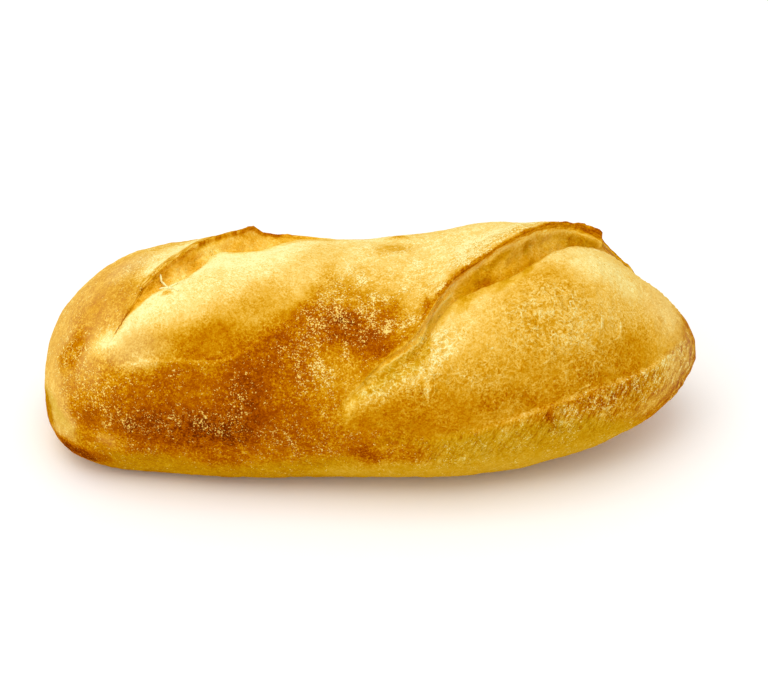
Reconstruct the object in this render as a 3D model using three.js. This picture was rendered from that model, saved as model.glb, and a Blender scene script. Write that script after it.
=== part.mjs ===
// A short baguette, baked free on a hearth: one solid loaf, blunt at one end and pointed at the other,
// with two slanting slashes that opened in the oven. Behind each slash the crust stands up as a thin
// ear over a groove. In front of the groove the paler inside has swollen out as far as the slash's
// front lip, where the floury skin begins again.
//
// Millimetres and degrees. +X runs along the loaf to its pointed end, +Y to its back, +Z up. The
// origin is on the hearth under the middle of the loaf.
//
// A place on the skin is a station, its x, and a clock angle round the section at that station:
// -90 is the middle of the underside, 0 the front, 90 the crown and 180 the back.

import * as THREE from 'three';
import { LoftGeometry } from 'three/addons/geometries/LoftGeometry.js';

// Driving dimensions of the loaf
const LENGTH = 195;
const HALF_WIDTH = 41.5;
const CROWN_HEIGHT = 59;
const BELLY_HEIGHT = 23; // of the widest line round the loaf
const PRESSED_FLAT = 3; // how far the hearth has pushed in the round underside

// How each end closes: a high taper keeps the loaf full for longer, a high round makes a blunter nose
const BLUNT_END = { taper: 3.6, crownTaper: 5.5, round: 2.4, noseLift: -9 };
const POINTED_END = { taper: 2.5, crownTaper: 2.6, round: 1.65, noseLift: 1 };
const NOSE_GAP = 0.06; // from the last section to the very end of the loaf

// Squareness of the section, 2 being a true ellipse
const UPPER_SQUARENESS = 2.05;
const LOWER_SQUARENESS = 2.7;

// Gentle hills and hollows of hand-shaped dough: their height, and waves per millimetre along the loaf
const LUMP_HEIGHT = 0.7;
const LUMP_WAVES = { long: 0.061, short: 0.105 };

// Cross section of an open slash, in millimetres
const EAR_OVERHANG = 1.6;
const FULL_RISE = 4; // an ear this high has all of its overhang
const FULL_FACE = 2; // an ear this high shows all of its thickness
const UNDERCUT = 1.5; // how far the groove runs back under the ear
const LIP_RISE = 0.5;
const LIP_BULGE = 1.5; // the lip stands clear once the inside has swollen this far
const SWOLLEN_CREST = 1.25; // below 1 the swollen inside is fullest near the lip, above 1 near the groove
const SLASH_SLANT = 46; // degrees between the slashes and the length of the loaf

// Behind an ear the raised crust sinks to these shares of its height, by clock angle from its edge, and
// in less than half of the way where the slash is shut
const EAR_SLOPE = [
  { behind: 4, share: 0.85 },
  { behind: 10, share: 0.42 },
  { behind: 18, share: 0.1 },
];
const SHUT_SLOPE = 0.4;

// The groove between the brink of the swollen inside and the ear's edge, in shares of that gap, of the
// groove's depth and of the ear's overhang
const GROOVE_FLOOR = { gap: 0.72 };
const GROOVE_BACK = { gap: 0.45, depth: 0.6 };
const EAR_ROOT = { gap: 0.05, overhang: 0.35 };

// The torn edge of an ear is higher in some places than in others
const RAGGED = { coarse: 0.09, coarseWaves: 0.7, fine: 0.04, fineWaves: 1.5 };

// Columns of points round a section
const FRONT_COLUMNS = 9;
const BRIDGE_COLUMNS = 5;
const BACK_COLUMNS = 10;
const SWOLLEN_COLUMNS = 7;
const STATIONS = 92;
const CROWDING = 0.75; // how strongly the stations crowd towards the noses

// A smooth curve through a few (station, value) pairs, level beyond the first and the last
function curve(...pairs) {
  const line = new THREE.CubicInterpolant(pairs.map((p) => p[0]), pairs.map((p) => p[1]), 1);
  return (station) => line.evaluate(station)[0];
}

// Uneven swelling along the loaf, which rose most where the slashes let it
const FRONT_SWELL = curve([-90, 0.98], [-66, 0.9], [-30, 0.94], [0, 1], [40, 1.04], [80, 1.05]);
const CROWN_SWELL = curve(
  [-90, 1.03], [-70, 1.09], [-48, 1.05], [-28, 0.945],
  [12, 0.935], [42, 1.155], [50, 1.19], [66, 1.2], [80, 1.05],
);
const BACK_SHARE = 0.35; // of the crown's swelling that the back follows

// Each slash: the clock angle of its ear's edge and of its front lip, the gap from the ear's edge forward
// to the brink of the swollen inside, how high the ear stands above the skin, how deep the groove lies
// below it, how far the inside has swollen past it, how thick the ear is, and how far the skin at the lip
// steps down to the inside
const RIGHT_SLASH = {
  ear: curve(
    [-14, 12], [-8, 23], [-3, 32], [2, 40.5], [6, 45], [12, 52], [14, 56], [16, 62.5], [18, 67],
    [22, 74.5], [30, 82], [36, 86.5], [42, 91],
    [46, 96], [50, 102], [54, 107.5], [58, 114.5], [62, 120], [66, 125], [72, 129], [88, 135],
  ),
  lip: curve([-14, 2], [-8, 6], [2, 7], [16, 3], [47, 12], [77, 24], [86, 36], [94, 60]),
  gap: curve(
    [-10, 4], [0, 6.5], [3, 8.5], [7, 11], [12, 11.5], [16, 10.5], [22, 10.3], [30, 13.6],
    [36, 15.9], [46, 18.2], [54, 18.5], [60, 21], [66, 19.2], [70, 13], [74, 7.5], [84, 4],
  ),
  rise: curve(
    [-12, 0], [0, 0.6], [14, 1.3], [22, 1.9], [30, 2.5], [33, 2.7], [36, 3.8],
    [50, 3.5], [64, 3.9], [68.5, 4.3], [70.5, 3.2], [73, 2.9], [78, 2.3], [84, 0],
  ),
  depth: curve([-10, 0], [0, 0.5], [8, 0.9], [16, 1.4], [24, 2.4], [36, 3.8], [56, 4.6], [72, 3.8], [86, 0]),
  bulge: curve([-12, 0], [8, 1.2], [36, 2.8], [62, 2.4], [90, 0]),
  thickness: 3,
  lipStep: 0.7,
  crag: 2.3,
};
const LEFT_SLASH = {
  ear: curve(
    [-78, 42], [-74, 51], [-70, 61.5], [-64, 77.4], [-58, 87.3], [-52, 96.5], [-47, 106],
    [-43, 109.5], [-33, 121], [-13, 131], [20, 143], [52, 160], [88, 176],
  ),
  lip: curve(
    [-78, 35], [-66, 38], [-43, 38], [-34, 46], [-15, 74],
    [-7, 95], [4, 118], [20, 130], [52, 147], [88, 162],
  ),
  gap: curve(
    [-78, 2], [-70, 2], [-66, 7.4], [-60, 11.3], [-54, 14], [-48, 16],
    [-43.5, 12.5], [-34, 20.6], [-24, 14], [-10, 6], [0, 4],
  ),
  rise: curve(
    [-74, 0], [-68, 0.6], [-62, 1.5], [-56, 2.3], [-51, 2.9], [-47.5, 2.2], [-42, 2.8],
    [-38.5, 3.2], [-36, 4.4], [-33.5, 2.6], [-29, 1.5], [-24, 0.9], [-16, 0.4], [-4, 0],
  ),
  depth: curve([-73, 0], [-66, 0.7], [-60, 1.8], [-52, 3], [-36, 3.8], [-20, 1.8], [-6, 0]),
  bulge: curve([-72, 0], [-61, 1.4], [-42, 2.6], [-20, 1], [-6, 0]),
  thickness: 1.6,
  lipStep: 0.3,
  crag: 5.1,
};

const radians = THREE.MathUtils.degToRad;
const mix = THREE.MathUtils.lerp;
const smoothstep = THREE.MathUtils.smoothstep;

function endShape(station) {
  return station < 0 ? BLUNT_END : POINTED_END;
}

// Share of the full size that the loaf has at a station
function fullness(station, taper = endShape(station).taper) {
  const reach = Math.abs(station) / (LENGTH / 2);
  return Math.pow(1 - Math.pow(reach, taper), 1 / endShape(station).round);
}

// Height of the hills and hollows, which fade out towards the underside
function lump(station, angle) {
  const turn = radians(angle);
  const short = Math.sin(LUMP_WAVES.short * station + 2 * turn);
  const long = Math.cos(LUMP_WAVES.long * station - 3 * turn);
  const fromUnderside = Math.sin((turn + Math.PI / 2) / 2);
  return 0.5 * LUMP_HEIGHT * (short + long) * fromUnderside * fullness(station);
}

// One coordinate of a squared-off ellipse, from the sine or cosine of the turn
function rounded(value, squareness) {
  return Math.sign(value) * Math.pow(Math.abs(value), 2 / squareness);
}

// The whole skin before it was slashed: the point at a station and a clock angle, as y and z
function skin(station, angle) {
  const end = endShape(station);
  const full = fullness(station);
  const belly = BELLY_HEIGHT + end.noseLift * Math.pow((2 * station) / LENGTH, 2);
  const swell = CROWN_SWELL(station);
  const crown = (CROWN_HEIGHT - BELLY_HEIGHT) * fullness(station, end.crownTaper) * swell;
  const turn = radians(angle);
  const upper = Math.sin(turn) > 0;
  const squareness = upper ? UPPER_SQUARENESS : LOWER_SQUARENESS;
  const reach = upper ? crown : (BELLY_HEIGHT + PRESSED_FLAT) * full;
  const sideways = Math.cos(turn) > 0 ? FRONT_SWELL(station) : mix(1, swell, BACK_SHARE);
  const halfWidth = HALF_WIDTH * full * sideways;
  return new THREE.Vector2(
    -halfWidth * rounded(Math.cos(turn), squareness),
    belly + reach * rounded(Math.sin(turn), squareness),
  );
}

// The point of a column: its place on the skin, moved across the slash, backwards being positive, and
// out of the skin
function place(station, { angle, across = 0, out = 0 }) {
  const here = skin(station, angle);
  const along = skin(station, angle + 1).sub(skin(station, angle - 1)).normalize();
  const outward = new THREE.Vector2(-along.y, along.x);
  const slant = radians(SLASH_SLANT);
  here.addScaledVector(along, across * Math.cos(slant));
  here.addScaledVector(outward, out + lump(station, angle));
  return new THREE.Vector3(station - across * Math.sin(slant), here.x, Math.max(here.y, 0));
}

// Evenly spaced columns of plain crust between two clock angles, without the ends
function crust(from, to, count) {
  return Array.from({ length: count }, (_, i) => ({ angle: mix(from, to, (i + 1) / (count + 1)) }));
}

function ragged(station, crag) {
  const coarse = RAGGED.coarse * Math.sin(RAGGED.coarseWaves * station + crag);
  const fine = RAGGED.fine * Math.sin(RAGGED.fineWaves * station + 2 * crag);
  return 1 + coarse + fine;
}

// The columns of a slash, from its front lip over the swollen inside, down the groove and up over the ear
function slash(cut, station) {
  const ear = cut.ear(station);
  const lip = cut.lip(station);
  const gap = cut.gap(station);
  const rise = Math.max(0, cut.rise(station)) * ragged(station, cut.crag);
  const depth = Math.max(0, cut.depth(station));
  const bulge = Math.max(0, cut.bulge(station));
  const open = Math.min(1, rise / FULL_RISE);
  const overhang = EAR_OVERHANG * open;
  const thickness = cut.thickness * smoothstep(rise, 0, FULL_FACE);
  const sloping = mix(SHUT_SLOPE, 1, open);
  const lipOpen = smoothstep(bulge, 0, LIP_BULGE);
  const swollen = Array.from({ length: SWOLLEN_COLUMNS }, (_, i) => {
    const t = (i + 1) / SWOLLEN_COLUMNS;
    const swells = bulge * Math.sin(Math.PI * Math.pow(t, SWOLLEN_CREST));
    const steps = cut.lipStep * lipOpen * (1 - t);
    return { angle: mix(lip + 1, ear - gap, t), out: swells - steps };
  });
  return [
    { angle: lip - 1, out: LIP_RISE * lipOpen },
    { angle: lip + 1, out: -cut.lipStep * lipOpen },
    ...swollen,
    { angle: ear - GROOVE_FLOOR.gap * gap, out: -depth },
    { angle: ear - GROOVE_BACK.gap * gap, across: UNDERCUT * open, out: -GROOVE_BACK.depth * depth },
    { angle: ear - EAR_ROOT.gap * gap, across: -EAR_ROOT.overhang * overhang, out: rise - thickness },
    { angle: ear, across: -overhang, out: rise },
    ...EAR_SLOPE.map(({ behind, share }) => ({ angle: ear + behind * sloping, out: share * rise })),
  ];
}

// One closed section, from the underside up the back, over the crown and down the front
function section(station) {
  const right = slash(RIGHT_SLASH, station);
  const left = slash(LEFT_SLASH, station);
  const columns = [
    { angle: -90 },
    ...crust(-90, right[0].angle, FRONT_COLUMNS),
    ...right,
    ...crust(right.at(-1).angle, left[0].angle, BRIDGE_COLUMNS),
    ...left,
    ...crust(left.at(-1).angle, 270, BACK_COLUMNS),
  ];
  return columns.map((column) => place(station, column)).reverse();
}

// Stations along the loaf, closer together towards the two noses
function stations() {
  const last = LENGTH / 2 - NOSE_GAP;
  return Array.from({ length: STATIONS + 1 }, (_, i) => {
    const step = (2 * i) / STATIONS - 1;
    return last * mix(step, Math.sin((step * Math.PI) / 2), CROWDING);
  });
}

const loaf = new THREE.Mesh(
  new LoftGeometry(stations().map(section), { capStart: true, capEnd: true }),
  new THREE.MeshStandardMaterial({ color: 0xd2953f, roughness: 0.75, metalness: 0 }),
);
loaf.name = 'loaf';

const baguette = new THREE.Group();
baguette.add(loaf);

export default baguette;
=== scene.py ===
import math

import bpy
import numpy as np
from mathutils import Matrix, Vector, noise


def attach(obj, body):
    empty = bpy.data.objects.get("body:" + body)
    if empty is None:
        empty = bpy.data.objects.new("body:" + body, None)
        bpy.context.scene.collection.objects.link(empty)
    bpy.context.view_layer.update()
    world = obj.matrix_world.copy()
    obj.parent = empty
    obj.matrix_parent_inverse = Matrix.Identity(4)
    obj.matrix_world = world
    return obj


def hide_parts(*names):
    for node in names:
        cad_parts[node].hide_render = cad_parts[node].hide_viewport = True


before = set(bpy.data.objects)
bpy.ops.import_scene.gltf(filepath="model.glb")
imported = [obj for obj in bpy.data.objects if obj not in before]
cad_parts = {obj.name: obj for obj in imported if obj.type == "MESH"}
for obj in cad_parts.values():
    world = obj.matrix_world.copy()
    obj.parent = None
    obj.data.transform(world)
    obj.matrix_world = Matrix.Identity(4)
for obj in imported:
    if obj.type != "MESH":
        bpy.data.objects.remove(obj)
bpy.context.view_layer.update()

MM = 0.001

# The loaf's own measures, in millimetres and degrees. A place on the skin is a station along the loaf
# and a clock angle round it: -90 under it, 0 at the front, 90 on the crown, 180 at the back.
HALF_LENGTH = 97.5
HALF_WIDTH = 41.5
CROWN_REACH = 36.0
BELLY_HEIGHT = 23.0
BASE_REACH = 26.0
UPPER_SQUARENESS = 2.05
LOWER_SQUARENESS = 2.7
# How the blunt end and the pointed end close: their roundness, the taper of their sides and of their
# crown, and how far their belly lifts
END_ROUNDNESS = (2.4, 1.65)
SIDE_TAPER = (3.6, 2.5)
CROWN_TAPER = (5.5, 2.6)
BELLY_LIFT = (-9.0, 1.0)
LUMP_HEIGHT = 0.7
SLASH_SLANT = math.radians(46)
EAR_OVERHANG = 1.6
# The ear heights at which a slash has opened all the way and its cut face is as thick as it gets
FULL_RISE = 4.0
FULL_FACE = 2.0
# The pale line of crumb lies this share of the way down the ear's cut face
CRUMB_LINE = 0.85
# Edges that bend more than this are cut edges, and stay this sharp when the loaf is smoothed
CUT_EDGE = math.radians(38)
CUT_SHARPNESS = 0.55
SMOOTHING_LEVELS = 2
# The floor lies this far under the loaf's base
FLOOR_GAP = 0.2


def curve(*pairs):
    """A smooth curve through (place, value) pairs, level beyond the first and the last."""
    xs = np.array([p[0] for p in pairs], float)
    ys = np.array([p[1] for p in pairs], float)
    slopes = np.empty_like(ys)
    slopes[1:-1] = (ys[2:] - ys[:-2]) / (xs[2:] - xs[:-2])
    slopes[0] = (ys[1] - ys[0]) / (xs[1] - xs[0])
    slopes[-1] = (ys[-1] - ys[-2]) / (xs[-1] - xs[-2])

    def at(place):
        x = np.clip(place, xs[0], xs[-1])
        i = np.clip(np.searchsorted(xs, x) - 1, 0, len(xs) - 2)
        w = xs[i + 1] - xs[i]
        t = (x - xs[i]) / w
        start = (1 + 2 * t) * (1 - t) ** 2 * ys[i] + t * (1 - t) ** 2 * w * slopes[i]
        end = t * t * (3 - 2 * t) * ys[i + 1] + t * t * (t - 1) * w * slopes[i + 1]
        return start + end

    return at


def ease(value, low, high):
    """0 below low, 1 above high, and a soft step between."""
    t = np.clip((value - low) / (high - low), 0, 1)
    return t * t * (3 - 2 * t)


def span(value, start, begun, ending, end):
    """1 from begun to ending, 0 before start and after end, and soft steps between."""
    return ease(value, start, begun) * (1 - ease(value, ending, end))


def mix(a, b, share):
    return a + (b - a) * share


FRONT_SWELL = curve((-90, 0.98), (-66, 0.9), (-30, 0.94), (0, 1), (40, 1.04), (80, 1.05))
CROWN_SWELL = curve(
    (-90, 1.03), (-70, 1.09), (-48, 1.05), (-28, 0.945),
    (12, 0.935), (42, 1.155), (50, 1.19), (66, 1.2), (80, 1.05),
)
BACK_SHARE = 0.35

# Each slash, by station: the clock angles of its ear's edge and of its front lip, the gap in degrees from
# the ear's edge to the brink of the swollen inside, and the ear's height. Then the ear's thickness, where
# the slash starts and ends, how softly its colour meets the lip, and how far the torn recess spreads past
# the brink. Then how far it has browned: the recess, by station and by the share from the brink to the
# ear, with the strength of its pits, the ear's cut face, the ear's rim and its width, and last the
# swollen inside, from the lip at 0 to the ear at 1.
# The tones of the torn recess and the ear's cut face are painted lighter than their crust's own, as
# painted light against the shade of the groove and the overhang
RIGHT_SLASH = {
    "ear": curve(
        (-14, 12), (-8, 23), (-3, 32), (2, 40.5), (6, 45), (12, 52), (14, 56), (16, 62.5), (18, 67),
        (22, 74.5), (30, 82), (36, 86.5), (42, 91),
        (46, 96), (50, 102), (54, 107.5), (58, 114.5), (62, 120), (66, 125), (72, 129), (88, 135),
    ),
    "lip": curve((-14, 2), (-8, 6), (2, 7), (16, 3), (47, 12), (77, 24), (86, 36), (94, 60)),
    "gap": curve(
        (-10, 4), (0, 6.5), (3, 8.5), (7, 11), (12, 11.5), (16, 10.5), (22, 10.3), (30, 13.6),
        (36, 15.9), (46, 18.2), (54, 18.5), (60, 21), (66, 19.2), (70, 13), (74, 7.5), (84, 4),
    ),
    "rise": curve(
        (-12, 0), (0, 0.6), (14, 1.3), (22, 1.9), (30, 2.5), (33, 2.7), (36, 3.8),
        (50, 3.5), (64, 3.9), (68.5, 4.3), (70.5, 3.2), (73, 2.9), (78, 2.3), (84, 0),
    ),
    "thickness": 3.0,
    "reach": (-11, -6, 90, 95),
    "lip_blend": (-0.6, 1.6),
    "recess_margin": curve((-12, 2), (20, 2), (40, 1.5), (52, 0.2)),
    "recess_browning": curve(
        (-10, 0.3), (0, 0.42), (30, 0.48), (54, 0.43), (62, 0.5), (70, 0.4), (80, 0.3),
    ),
    "recess_gradient": curve((0, -0.1), (0.25, 0), (0.5, 0.05), (0.8, -0.04), (1, -0.08)),
    "pits": 0.55,
    "face_browning": curve(
        (8, 0.42), (20, 0.48), (36, 0.48), (44, 0.46), (52, 0.58), (62, 0.66), (69, 0.68), (72, 0.54),
        (82, 0.4),
    ),
    "rim_browning": curve(
        (8, 0.6), (18, 0.68), (34, 0.66), (40, 0.6), (60, 0.63), (69, 0.72), (72, 0.56), (78, 0.44),
        (82, 0.3),
    ),
    "rim_width": curve((8, 1.7), (36, 1.6), (50, 2.0), (66, 2.2), (72, 1.2)),
    "browning": curve(
        (0, 0.58), (0.15, 0.58), (0.3, 0.52), (0.45, 0.42), (0.65, 0.33), (0.85, 0.24), (1, 0.16),
    ),
}
LEFT_SLASH = {
    "ear": curve(
        (-78, 42), (-74, 51), (-70, 61.5), (-64, 77.4), (-58, 87.3), (-52, 96.5), (-47, 106),
        (-43, 109.5), (-33, 121), (-13, 131), (20, 143), (52, 160), (88, 176),
    ),
    "lip": curve(
        (-78, 35), (-66, 38), (-43, 38), (-34, 46), (-15, 74),
        (-7, 95), (4, 118), (20, 130), (52, 147), (88, 162),
    ),
    "gap": curve(
        (-78, 2), (-70, 2), (-66, 7.4), (-60, 11.3), (-54, 14), (-48, 16),
        (-43.5, 12.5), (-34, 20.6), (-24, 14), (-10, 6), (0, 4),
    ),
    "rise": curve(
        (-74, 0), (-68, 0.6), (-62, 1.5), (-56, 2.3), (-51, 2.9), (-47.5, 2.2), (-42, 2.8),
        (-38.5, 3.2), (-36, 4.4), (-33.5, 2.6), (-29, 1.5), (-24, 0.9), (-16, 0.4), (-4, 0),
    ),
    "thickness": 1.6,
    "reach": (-75, -69, -14, -2),
    "lip_blend": (-2.0, 5.0),
    "recess_margin": curve((-76, 0.4), (-60, 0.3), (-50, 0.6), (-40, 0.9)),
    "recess_browning": curve(
        (-72, 0.4), (-62, 0.4), (-58, 0.36), (-54, 0.4), (-48, 0.29), (-43, 0.21), (-36, 0.2),
        (-22, 0.28), (-6, 0.24),
    ),
    "recess_gradient": curve((0, -0.14), (0.3, -0.03), (0.6, 0.05), (1, 0.05)),
    "pits": 0.5,
    "face_browning": curve((-72, 0.56), (-50, 0.58), (-46, 0.4), (-36, 0.46), (-20, 0.36)),
    "rim_browning": curve((-72, 0.5), (-50, 0.44), (-44, 0.56), (-20, 0.6)),
    "rim_width": curve((-72, 2.4), (-66, 3.0), (-56, 3.0), (-48, 2.4), (-40, 2.0), (-20, 2.0)),
    "browning": curve(
        (0, 0.64), (0.13, 0.6), (0.23, 0.52), (0.35, 0.36), (0.5, 0.17), (0.65, 0.07), (1, 0.02),
    ),
}

# How far the outer crust browned by its clock angle, on the left half of the loaf and on the right half.
# Low on the front, near the floor, it is painted lighter, as painted light against the shade there.
LEFT_BROWNING = curve(
    (-90, 0.6), (-25, 0.57), (-8, 0.64), (5, 0.82), (14, 0.77), (25, 0.7), (38, 0.58), (50, 0.46),
    (65, 0.52), (90, 0.47), (120, 0.34), (150, 0.4), (200, 0.55), (260, 0.62),
)
RIGHT_BROWNING = curve(
    (-90, 0.56), (-25, 0.42), (0, 0.52), (20, 0.58), (60, 0.5), (90, 0.36),
    (115, 0.2), (150, 0.36), (200, 0.52), (260, 0.6),
)

# Below this clock angle the crust is painted pale olive: painted light bounced from the floor into the
# shade under the loaf's belly
OLIVE_LINE = curve(
    (-97, 45), (-93, 26), (-86, 3), (-70, -7), (-20, -9), (-6, -4), (4, 8), (30, 6), (56, 6),
    (70, -1), (84, -12), (97, -10),
)

# Where the torn recess of the left slash is bridged, as a stroke of a brush
BRIDGE = (-46.2, 99.5, 3, 4.5, -40)

# The pointed end is painted browner, and in streaks, towards its outline as seen from the camera, where
# its skin turns away along this direction: partly its brown crust, partly painted shade. Its browning by
# how far the skin turns that way
AWAY_FROM_VIEW = (0.02, 0.81, -0.59)
NOSE_BROWNING = curve(
    (-0.88, 0.42), (-0.8, 0.38), (-0.72, 0.42), (-0.62, 0.52), (-0.4, 0.6), (0.2, 0.62), (0.6, 0.56),
)

# The shut foot of the right slash: the clock angle of its thin crumb line by station, and the browning by
# the distance behind that line, from the pale band in front of it to the brown stripe behind it. The
# ribbon just behind the line is painted lighter, as painted light on the ear's steep face in shade.
FOOT_LINE = curve(
    (-8, 20.5), (-1, 32.5), (2, 37), (6, 41.5), (9, 44.5), (12, 47.5), (14, 50.5), (15, 54),
    (16, 59.5), (18, 62.5), (21, 68.5), (25, 74.5),
)
FOOT_BROWNING = curve(
    (-7, 0.22), (-5.5, 0.28), (-4.5, 0.4), (-3, 0.48), (-1.2, 0.52), (0.4, 0.36), (1.2, 0.38),
    (2, 0.54), (2.8, 0.78), (4.5, 0.78), (6, 0.64),
)

# Strokes of a brush on the skin: station, clock angle, half length along the loaf and half width round
# it in millimetres, turn in degrees, and what is painted. First how far the outer crust has browned.
CRUST_BROWNING = (
    # The blunt end
    (-97, 40, 9, 30, 0, 0.36), (-72, 97, 6, 7, 0, 0.44), (-80, 70, 6, 9, 0, 0.48),
    (-85, 61, 5, 7, 0, 0.53), (-88, 46, 6, 7, 0, 0.54), (-81, 40, 5, 6, 0, 0.47),
    (-79, 98, 5, 6, 0, 0.47), (-92, 80, 4, 8, 0, 0.4), (-93, 24, 4, 9, 0, 0.3),
    (-84, 26, 6, 7, 0, 0.55), (-89, 8, 5, 4, 0, 0.3), (-76, 2, 6, 4, 0, 0.5),
    (-86, -20, 7, 4, 0, 0.95), (-96, 18, 1.6, 2.5, 0, 0.62), (-95.5, 2, 1.6, 5, 0, 0.66),
    (-74.6, 50.5, 4, 3.2, 0, 0.05), (-86, 53, 2.8, 4.2, 0, 0.64), (-80, 74.5, 3, 3, 0, 0.53),
    # The front below the left slash
    (-64, 40, 7, 4, 0, 0.32), (-56, 30, 8, 4, 0, 0.74), (-78, 14, 8, 4, 0, 0.74),
    (-62, 8, 10, 5, 0, 0.86), (-45, 5, 9, 5, 0, 0.95), (-42, 44, 9, 7, 0, 0.66),
    (-32, 36, 8, 12, 0, 0.78), (-32, 20, 9, 9, 0, 0.87), (-42, -10, 7, 4, 0, 0.74),
    # Between the slashes
    (-22, 42, 8, 14, 0, 0.8), (-21, 22, 7, 9, 0, 0.7), (-20, 8, 8, 6, 0, 0.75),
    (-20, 76, 7, 9, 40, 0.38), (-9, 34, 6, 9, 0, 0.52), (-9, 14, 6, 7, 0, 0.6),
    (1, 48, 5, 4, 45, 0.66), (-12, 63, 6, 8, 0, 0.88), (-3, 60, 7, 8, 0, 0.9),
    (-18, 56, 5, 7, 0, 0.74), (-9, 84, 14, 7, 0, 0.36), (-6, 112, 16, 14, 0, 0.1),
    (4, 78, 8, 8, 0, 0.42), (10, 96, 12, 12, 0, 0.2), (14, 76, 8, 3, 45, 0.43),
    (-10, 72, 14, 4, 0, 0.54), (2, 71, 5, 4, 0, 0.5), (4, 84, 6, 4, 0, 0.34),
    (36, 104, 26, 9, 35, 0.15), (22, 104, 9, 7, 0, 0.16), (3, 98, 5, 4, 0, 0.16),
    (3, 62, 5, 4, 0, 0.7), (7, 104, 5, 3, 0, 0.4), (-4, 128, 6, 1.5, 0, 0.5),
    (9, 118, 3, 1.2, 0, 0.5),
    # The foot of the front
    (-2, -5, 5, 5, 0, 0.86), (8, -4, 7, 3, 0, 0.68), (35, 6, 8, 4, 0, 0.48), (4, 6, 12, 6, 0, 0.66),
    (-10, -24, 9, 4, 0, 0.42),
    # The back
    (-52, 172, 22, 9, 0, 0.68), (4, 190, 26, 8, 0, 0.64), (48, 164, 14, 9, 0, 0.46),
    (-24, 205, 18, 7, 0, 0.72), (-28, 156, 14, 6, 0, 0.3), (26, 150, 12, 6, 20, 0.26),
    (62, 190, 12, 8, 0, 0.62),
    # The pointed end
    (86, 22, 6, 5, 30, 0.4), (88.5, 56, 3, 14, 0, 0.43), (56, -4, 14, 5, 0, 0.53),
    (54.5, 3, 4, 5, 0, 0.45), (50.2, 6.5, 1.2, 4, 20, 0.76),
)
# How far the inside of the slashes has browned beyond its run from lip to ear
INSIDE_BROWNING = (
    (12, 39, 16, 4, 40, 0.25), (22, 52, 6, 5, 30, 0.22), (-6, 20, 5, 3.5, 40, 0.26),
    (10, 22, 12, 5, 25, 0.58), (4, 14, 14, 5, 0, 0.6), (44, 64, 8, 6, 10, 0.36),
    (51, 65, 8, 7, 0, 0.42), (46, 46, 8, 6, 0, 0.44), (58, 46, 8, 6, 0, 0.38),
    (76, 74, 9, 10, 0, 0.14), (66, 84, 9, 6, 20, 0.12), (72, 56, 8, 7, 0, 0.32),
    (84, 60, 5, 12, 0, 0.36), (85, 84, 6, 8, 0, 0.28), (72, 36, 9, 6, 25, 0.56),
    (44, 17.5, 1.5, 1.5, 0, 0.85), (-38, 47, 5, 3, 20, 0.62), (-33, 64, 8, 7, 30, 0.42),
    (-50, 30, 9, 5, 0, 0.72), (-20, 116, 12, 2.5, 8, 0.4), (-16, 90, 14, 5, 61, 0.22),
    (-64, 43, 7, 5, 0, 0.44), (-45, 72, 9, 5, 25, 0.12), (-45, 49, 8, 3.5, 15, 0.62),
    (-58, 70, 1.2, 0.8, 0, 0.5), (46, 27, 8, 5, 0, 0.47), (33, 32, 7, 5, 0, 0.46),
    (36, 19, 8, 4, 0, 0.6), (35, 10, 8, 3, 0, 0.5),
)
# The deepest pits of the torn recesses, and the pale bridge over the left one
RECESS_BROWNING = (
    (33, 73, 3.5, 2, 25, 0.72), (44, 79, 3.5, 2, 25, 0.52), (37, 80, 2.5, 1.5, 30, 0.38),
    (52.5, 99.5, 6, 1.6, 45, 0.35), (63, 112, 6, 2, 30, 0.58), (26, 72, 3, 2, 40, 0.48),
    (-53, 94, 3.5, 2.5, 40, 0.48), (-57, 84, 3, 2, 40, 0.4), (-38, 107, 4, 3, 20, 0.3),
    (-54.8, 85, 4, 1.8, 45, 0.13), (*BRIDGE, 0.15),
)
# Rims of broken blisters on the swollen inside: station, clock angle, radius in millimetres, and the two
# directions in degrees between which the rim stands, 0 being along the loaf and 90 up round it
BLISTERS = (
    (66.5, 50, 4.6, -75, 45), (62, 50, 3.2, -60, 50), (58, 47, 4, 215, 320),
    (59.4, 23, 2.6, 215, 335), (46.5, 38, 4, -110, -5), (52, 27.5, 2.4, 230, 350),
    (40, 52, 1.8, -40, 120), (34, 44, 2.2, 180, 310), (51, 56, 2, -80, 40), (58, 62, 2.4, 170, 280),
    (30, 33, 2, 200, 320), (44, 40, 1.6, -60, 80), (22, 32, 2, 190, 300),
)
BLISTER_REACH = 3.0
# Where the skin of the swollen inside is crinkled
CRINKLED = (
    (50, 50, 15, 12, 0, 1.0), (30, 30, 14, 9, 0, 0.7), (60, 32, 14, 9, 0, 0.8),
    (40, 18, 14, 6, 0, 0.7), (14, 32, 10, 7, 30, 0.9), (66, 50, 8, 8, 0, 0.7),
    (6, 33, 12, 5, 40, 1.4), (16, 42, 10, 5, 40, 1.3),
)
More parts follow.
